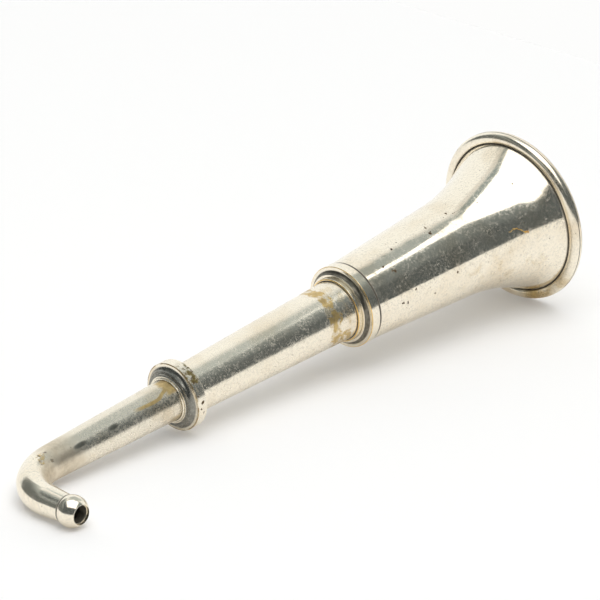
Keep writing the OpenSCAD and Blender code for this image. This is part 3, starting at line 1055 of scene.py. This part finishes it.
# %% Ear tube finish
SEAM_DULL = 0.8
DULL_LENGTH = 12.0
VEIL = 0.1
THUMB_ANGLE = -50.0
THUMB_WIDTH = 9.0
# Station and length of each thumb mark
THUMB_MARKS = ((182.0, 2.2), (195.0, 3.0))


def ear_brass(net, place):
    """A golden streak from the sleeve along the tube, and a rubbed patch beside the sleeve."""
    run = place.station - EAR_SLEEVE_FRONT + (net.noise(place.where, 500.0) - 0.5) * 2.4
    turn = net.smooth(run, 2.0, 8.0, -26.0, -43.0) + net.ramp(run, 10.0, 18.0) * 4.0
    streak = net.smooth(net.math("ABSOLUTE", place.angle - turn), 3.8, 6.5, 1.0, 0.0)
    streak = streak * net.smooth(run, 13.0, 18.0, 1.0, 0.0)
    patch = net.band(place.angle, -46.0, 14.0, 5.0) * net.smooth(run, 2.6, 4.2, 1.0, 0.0)
    under = net.band(place.angle, -142.0, -112.0, 8.0) * net.smooth(run, 2.0, 7.0, 1.0, 0.0)
    return net.larger(streak, net.larger(patch, under * 0.6)) * 0.8


def ear_dull(net, place):
    """Metal that grows dull towards the soldered seam."""
    return net.smooth(place.station, EAR_FRONT - DULL_LENGTH, EAR_FRONT, 0.0, SEAM_DULL)


def ear_smoke(net, place):
    """Two dark, soft thumb marks on a thin grey veil."""
    marks = VEIL
    across = (place.angle - THUMB_ANGLE) / THUMB_WIDTH
    for station, length in THUMB_MARKS:
        along = (place.station - station) / length
        marks = net.smooth(across * across + along * along, 0.2, 1.2, 0.75, 0.0) + marks
    return marks


ear_layers = [("dull", ear_dull), ("smoke", ear_smoke), ("brass", ear_brass)]
plate(ear_tube, "ear_silver", ear_layers, polish=0.24, pepper=0.19, specks=0.1, tarnish=0.8)

# %% [markdown]
# The elbow is soldered to the ear tube. The solder was left rough and has turned brassy and pitted, so
# the seam gets ragged stains and dark holes at places given along and round the bend. The neck behind the
# ball is darkened with painted shade.

# %% Elbow finish
# Degrees along the bend, degrees round it and radius of each stain and each hole
SOLDER = [(18.0, 80.0, 1.4), (24.0, 74.0, 1.6), (29.0, 62.0, 1.5), (27.0, 90.0, 0.9)]
SOLDER_PITS = [(16.0, 42.0, 0.7), (21.0, 84.0, 0.6), (30.0, 70.0, 0.6), (12.0, 78.0, 0.5), (34.0, 58.0, 0.5)]


def on_bend(turn, angle):
    """A point on the bend's skin: degrees along the bend, and degrees round it, ninety being the top."""
    radius = BEND_START_R + (ARM_R - BEND_START_R) * turn / 90
    a = math.radians(angle)
    out = BEND_R - (BEND_R - radius * math.cos(a)) * math.cos(math.radians(turn))
    along = (BEND_R - radius * math.cos(a)) * math.sin(math.radians(turn))
    return Vector((radius * math.sin(a), -out, EAR_FRONT + along)) * MM


def solder(net, place):
    """Brassy, ragged solder on the upper side of the bend."""
    rag = net.smooth(net.noise(place.where, 900.0, 3.0, 0.65), 0.42, 0.58)
    return spots(net, place, [(on_bend(turn, a), size) for turn, a, size in SOLDER]) * rag * 0.75


def solder_pits(net, place):
    """Dark holes in the solder."""
    return spots(net, place, [(on_bend(turn, a), size) for turn, a, size in SOLDER_PITS]) * 0.7


def bend_dull(net, place):
    """Dull metal beside the seam and on the inside of the bend, where no cloth reaches."""
    along = place.station - EAR_FRONT
    from_centre = net.length(place.side * METRE + BEND_R, along)
    inner = net.smooth(from_centre, 12.6, 15.0, 0.9, 0.0) * net.smooth(along, 1.0, 5.0)
    return net.larger(inner, net.smooth(along, 0.0, 8.0, SEAM_DULL, 0.0))


def neck_shade(net, place):
    """Painted shade in the neck behind the ball."""
    return net.smooth(place.side * -METRE, TIP_SEAM - 0.9, TIP_SEAM - 0.35) * 0.9


elbow_layers = [("dull", bend_dull), ("brass", solder), ("pit", solder_pits), ("painted_shade", neck_shade)]
plate(elbow, "elbow_silver", elbow_layers, polish=0.13, pepper=0.1, specks=0.08, tarnish=0.7)

# %% [markdown]
# The tip is the cleanest piece, polished by use, but dark in its hole and behind the ball. The light alone
# would leave these places too bright, because polished walls pass it on, so two soft steps add painted shade.

# %% Ear tip finish
def tip_shade(net, place):
    """Painted shade behind the ball and inside its hole."""
    seam = net.smooth(place.side * -METRE, TIP_SEAM + 0.1, TIP_SEAM + 0.4, 0.8, 0.0)
    from_hole = net.length(place.up * METRE, place.station - ARM_STATION)
    return seam + net.smooth(from_hole, TIP_BORE, TIP_BORE + 0.12, 0.75, 0.0)


plate(tip, "tip_silver", [("painted_shade", tip_shade)], polish=0.15, pepper=0.08, specks=0.04, tarnish=0.4)

# %% [markdown]
# Two metals lie inside. The stop rings are plain brass, and the rim's wire is iron. The wire stays the
# CAD node, because it is sealed in the bead, but it still gets a finish of its own.

# %% Inner metals
METAL_WAVES = 260.0


def plain_metal(name, light, dark, rough):
    """A dull metal with cloudy colour and fine grain."""
    material, net = new_material(name)
    where = net.node("ShaderNodeTexCoord", out="Object")
    clouds = net.noise(where, METAL_WAVES, 4.0, 0.6)
    bump = net.node("ShaderNodeBump", None, {"Strength": 1.0, "Distance": 4 * MICRON, "Height": clouds})
    tint = net.mix(clouds, light, dark)
    net.feed("Principled BSDF", {"Base Color": tint, "Roughness": rough + clouds * 0.2, "Normal": bump})
    material.node_tree.nodes["Principled BSDF"].inputs["Metallic"].default_value = 1.0
    return material


dull_brass = plain_metal("dull_brass", colour(206, 170, 92), colour(140, 108, 56), 0.25)
drawn_iron = plain_metal("drawn_iron", colour(120, 116, 110), colour(70, 64, 58), 0.4)
dress(middle_stop, dull_brass)
dress(ear_stop, dull_brass)
dress(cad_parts["rim_wire"], drawn_iron)

# %% [markdown]
# The table is a pale sheet. More light would make it white, but would bleach the trumpet too. So it keeps
# a diffuse part that takes the shadow, and a faint glow for the camera and for reflections. It ends to
# the right of the picture, where the silver mirrors the dark room beyond the edge.

# %% Table
TABLE_GLOW = 0.18
TABLE_RIGHT = 0.3
TABLE_REACH = 3.0
TABLE_DROP = 0.00005
SHEET_WHITE = (0.82, 0.81, 0.8, 1.0)
WHITE = (1.0, 1.0, 1.0, 1.0)


def stage_sheet(name, corners, material):
    """A flat sheet that is not attached to the trumpet."""
    mesh = bpy.data.meshes.new(name)
    mesh.from_pydata(corners, [], [tuple(range(len(corners)))])
    mesh.materials.append(material)
    sheet = bpy.data.objects.new(name, mesh)
    bpy.context.scene.collection.objects.link(sheet)
    print(name, "has", len(corners), "corners")
    return sheet


def pale_table():
    """White to the eye and in reflections, with a diffuse part that keeps the shadow."""
    material, net = new_material("pale_table")
    net.tree.nodes.remove(net.tree.nodes["Principled BSDF"])
    camera_ray = net.node("ShaderNodeLightPath", out="Is Camera Ray")
    seen = camera_ray + camera_ray.output("Is Glossy Ray") + camera_ray.output("Is Transmission Ray")
    matt = net.node("ShaderNodeBsdfDiffuse", None, {"Color": SHEET_WHITE})
    glow = net.node("ShaderNodeEmission", None, {"Color": WHITE, "Strength": seen * TABLE_GLOW})
    net.feed("Material Output", {"Surface": net.node("ShaderNodeAddShader", None, {0: matt, 1: glow})})
    return material


table_corners = [
    (-TABLE_REACH, -TABLE_REACH, -TABLE_DROP),
    (TABLE_RIGHT, -TABLE_REACH, -TABLE_DROP),
    (TABLE_RIGHT, TABLE_REACH, -TABLE_DROP),
    (-TABLE_REACH, TABLE_REACH, -TABLE_DROP),
]
stage_sheet("table", table_corners, pale_table())

# %% [markdown]
# Silver has almost no colour of its own: it shows the room. The photograph's room can be read from the
# trumpet: a large soft box overhead, turned like a diamond, a white sweep of paper behind it with a grey
# gap between the two, and a dark, cool room all round. Lamps and panels could build it, but the world can
# be painted by direction, as if on a ceiling one unit above the table, and then each edge is one formula.

# %% Room
BOX_LIGHT = 2.1
BOX_WHITE = (BOX_LIGHT, BOX_LIGHT, BOX_LIGHT, 1.0)
ROOM_DARK = (0.06, 0.074, 0.08, 1.0)
ROOM_DIM = (0.3, 0.35, 0.36, 1.0)
GAP_GREY = (0.25, 0.31, 0.32, 1.0)
SWEEP_SHADE = (0.76, 0.75, 0.73, 1.0)
SWEEP_WHITE = (1.0, 1.02, 1.02, 1.0)
PAGE_WHITE = (0.984, 0.984, 0.974, 1.0)
HORIZON = 0.03
BOX_RIGHT = 0.6
# How far north the box's far edge starts, and its drops: from one east to another, and by how much
FAR_START = 0.70
FAR_DROPS = ((-0.16, 0.02, 0.34), (0.02, 0.49, 0.36), (0.515, 0.60, 0.40))
FAR_SLOPE = 0.667
# The same for the front edge, which rises
FRONT_START = -1.32
FRONT_RISES = ((-0.22, -0.02, 0.42), (-0.02, 0.58, 0.5))

world = bpy.data.worlds.new("room")
bpy.context.scene.world = world
world.use_nodes = True
room = Network(world.node_tree)
way_x, way_y, way_z = room.split(room.node("ShaderNodeTexCoord", out="Generated"))
height = room.larger(way_z, HORIZON)
east = way_x / height
north = way_y / height
far_edge = FAR_START - (room.larger(east, BOX_RIGHT) - BOX_RIGHT) * FAR_SLOPE
for low, high, drop in FAR_DROPS:
    far_edge = far_edge - room.ramp(east, low, high) * drop
front_edge = FRONT_START
for low, high, gain in FRONT_RISES:
    front_edge = front_edge + room.ramp(east, low, high) * gain
far = north - far_edge
front = north - front_edge

# The box lies between the two edges and is cut off at its three corners
box = room.smooth(front, -0.04, 0.05) * room.smooth(far, -0.03, 0.01, 1.0, 0.0)
box = box * room.smooth(east, 0.58, 0.64, 1.0, 0.0) * room.smooth(north + east * 1.93, -1.95, -1.75)
box = box * room.smooth(north - east * 0.8, 0.7, 0.82, 1.0, 0.0)

# The sweep begins behind the box: first the grey gap, then paper in shade, then white paper
sweep = room.smooth(far, -0.03, 0.01) * room.smooth(east + north * 0.12, -0.06, 0.02)
paper = room.mix(room.smooth(far, 0.21, 0.27), GAP_GREY, SWEEP_SHADE)
paper = room.mix(room.smooth(far, 0.42, 0.55), paper, SWEEP_WHITE)

# In front the room is dark, and a little lighter close to the box
tone = room.smooth(front, -1.4, -0.35) * 0.7 + room.smooth(front, -0.35, 0.05)
tone = tone * room.smooth(east, -0.5, -0.2)
dark_side = room.mix(tone * 0.5, ROOM_DARK, ROOM_DIM)

# All are laid over each other, and the camera itself sees a plain page
painted = room.mix(box, room.mix(sweep, dark_side, paper), BOX_WHITE)
painted = room.mix(room.node("ShaderNodeLightPath", out="Is Camera Ray"), painted, PAGE_WHITE)
room.feed("World Output", {"Surface": room.node("ShaderNodeBackground", None, {"Color": painted})})
print("room painted")

# %% [markdown]
# Light painted by direction is the same for every piece, but a real room isn't: the elbow mirrors the
# dark end of the sweep, the two draws hardly mirror the soft box, and its strip on the bell narrows
# towards the tail. Photographers put cards beside an object for this, and three cards do it here: a dark
# one behind the elbow, a grey flag above the draws, and a narrow blade low over the bell's cone. Only
# mirrored rays see them.

# %% Cards
CARD_WAVES = 4.0
CARD_TOP = (0.4, 0.44, 0.44, 1.0)
BACK_GREYS = ((0.09, 0.1, 0.1, 1.0), (0.14, 0.16, 0.16, 1.0))
FLAG_GREYS = ((0.4, 0.45, 0.46, 1.0), (0.5, 0.55, 0.56, 1.0))
BLADE_GREYS = ((0.3, 0.35, 0.36, 1.0), (0.38, 0.43, 0.44, 1.0))
BACK_Y = 0.555
FLAG_Z = 0.085
BLADE_Z = 0.062
BACK = [(-0.195, 0.0), (0.12, 0.62), (-1.2, 0.62), (-1.2, 0.0)]
FLAG = [
    (-0.085, -0.04), (0.03, -0.03), (0.05, -0.018), (0.058, 0.002),
    (0.0, 0.006), (-0.01, 0.045), (-0.085, 0.045),
]
BLADE = [
    (0.045, -0.0152), (0.0582, -0.0146), (0.0693, -0.0133), (0.0765, -0.011),
    (0.0828, -0.0084), (0.0828, -0.0035), (0.045, 0.0),
]


def card_grey(name, greys):
    """A cool, slightly cloudy grey that is lighter high up."""
    material, net = new_material(name)
    net.tree.nodes.remove(net.tree.nodes["Principled BSDF"])
    where = net.node("ShaderNodeTexCoord", out="Object")
    grey = net.mix(net.noise(where, CARD_WAVES), *greys)
    grey = net.mix(net.smooth(net.split(where)[2], 0.4, 0.6), grey, CARD_TOP)
    net.feed("Material Output", {"Surface": net.node("ShaderNodeEmission", None, {"Color": grey})})
    return material


def hang_card(name, corners, greys):
    """A flat card that only mirrored rays can see."""
    card = stage_sheet(name, corners, card_grey(name, greys))
    card.visible_camera = False
    card.visible_diffuse = False
    card.visible_shadow = False


hang_card("back_card", [(x, BACK_Y, z) for x, z in BACK], BACK_GREYS)
hang_card("flag_card", [(x, y, FLAG_Z) for x, y in FLAG], FLAG_GREYS)
hang_card("blade_card", [(x, y, BLADE_Z) for x, y in BLADE], BLADE_GREYS)

# %% [markdown]
# One soft lamp hangs where the soft box is and gives the shadow its side. It is large, because the
# shadow's edge in the photograph is soft, and it is hidden from reflections, which the room already fills.

# %% Lamp
LAMP_SIZE = 0.7
LAMP_WATTS = 1.2
LAMP_AT = Vector((-0.15, -0.3, 1.0))
lamp_data = bpy.data.lights.new("soft_key", "AREA")
lamp_data.shape = "DISK"
lamp_data.size = LAMP_SIZE
lamp_data.energy = LAMP_WATTS
lamp = bpy.data.objects.new("soft_key", lamp_data)
bpy.context.scene.collection.objects.link(lamp)
lamp.location = LAMP_AT
lamp.rotation_euler = (-LAMP_AT).to_track_quat("-Z", "Y").to_euler()
lamp.visible_glossy = False
print("lamp at", [round(v, 2) for v in LAMP_AT])

# %% Finish
bpy.context.scene.view_settings.view_transform = "Standard"
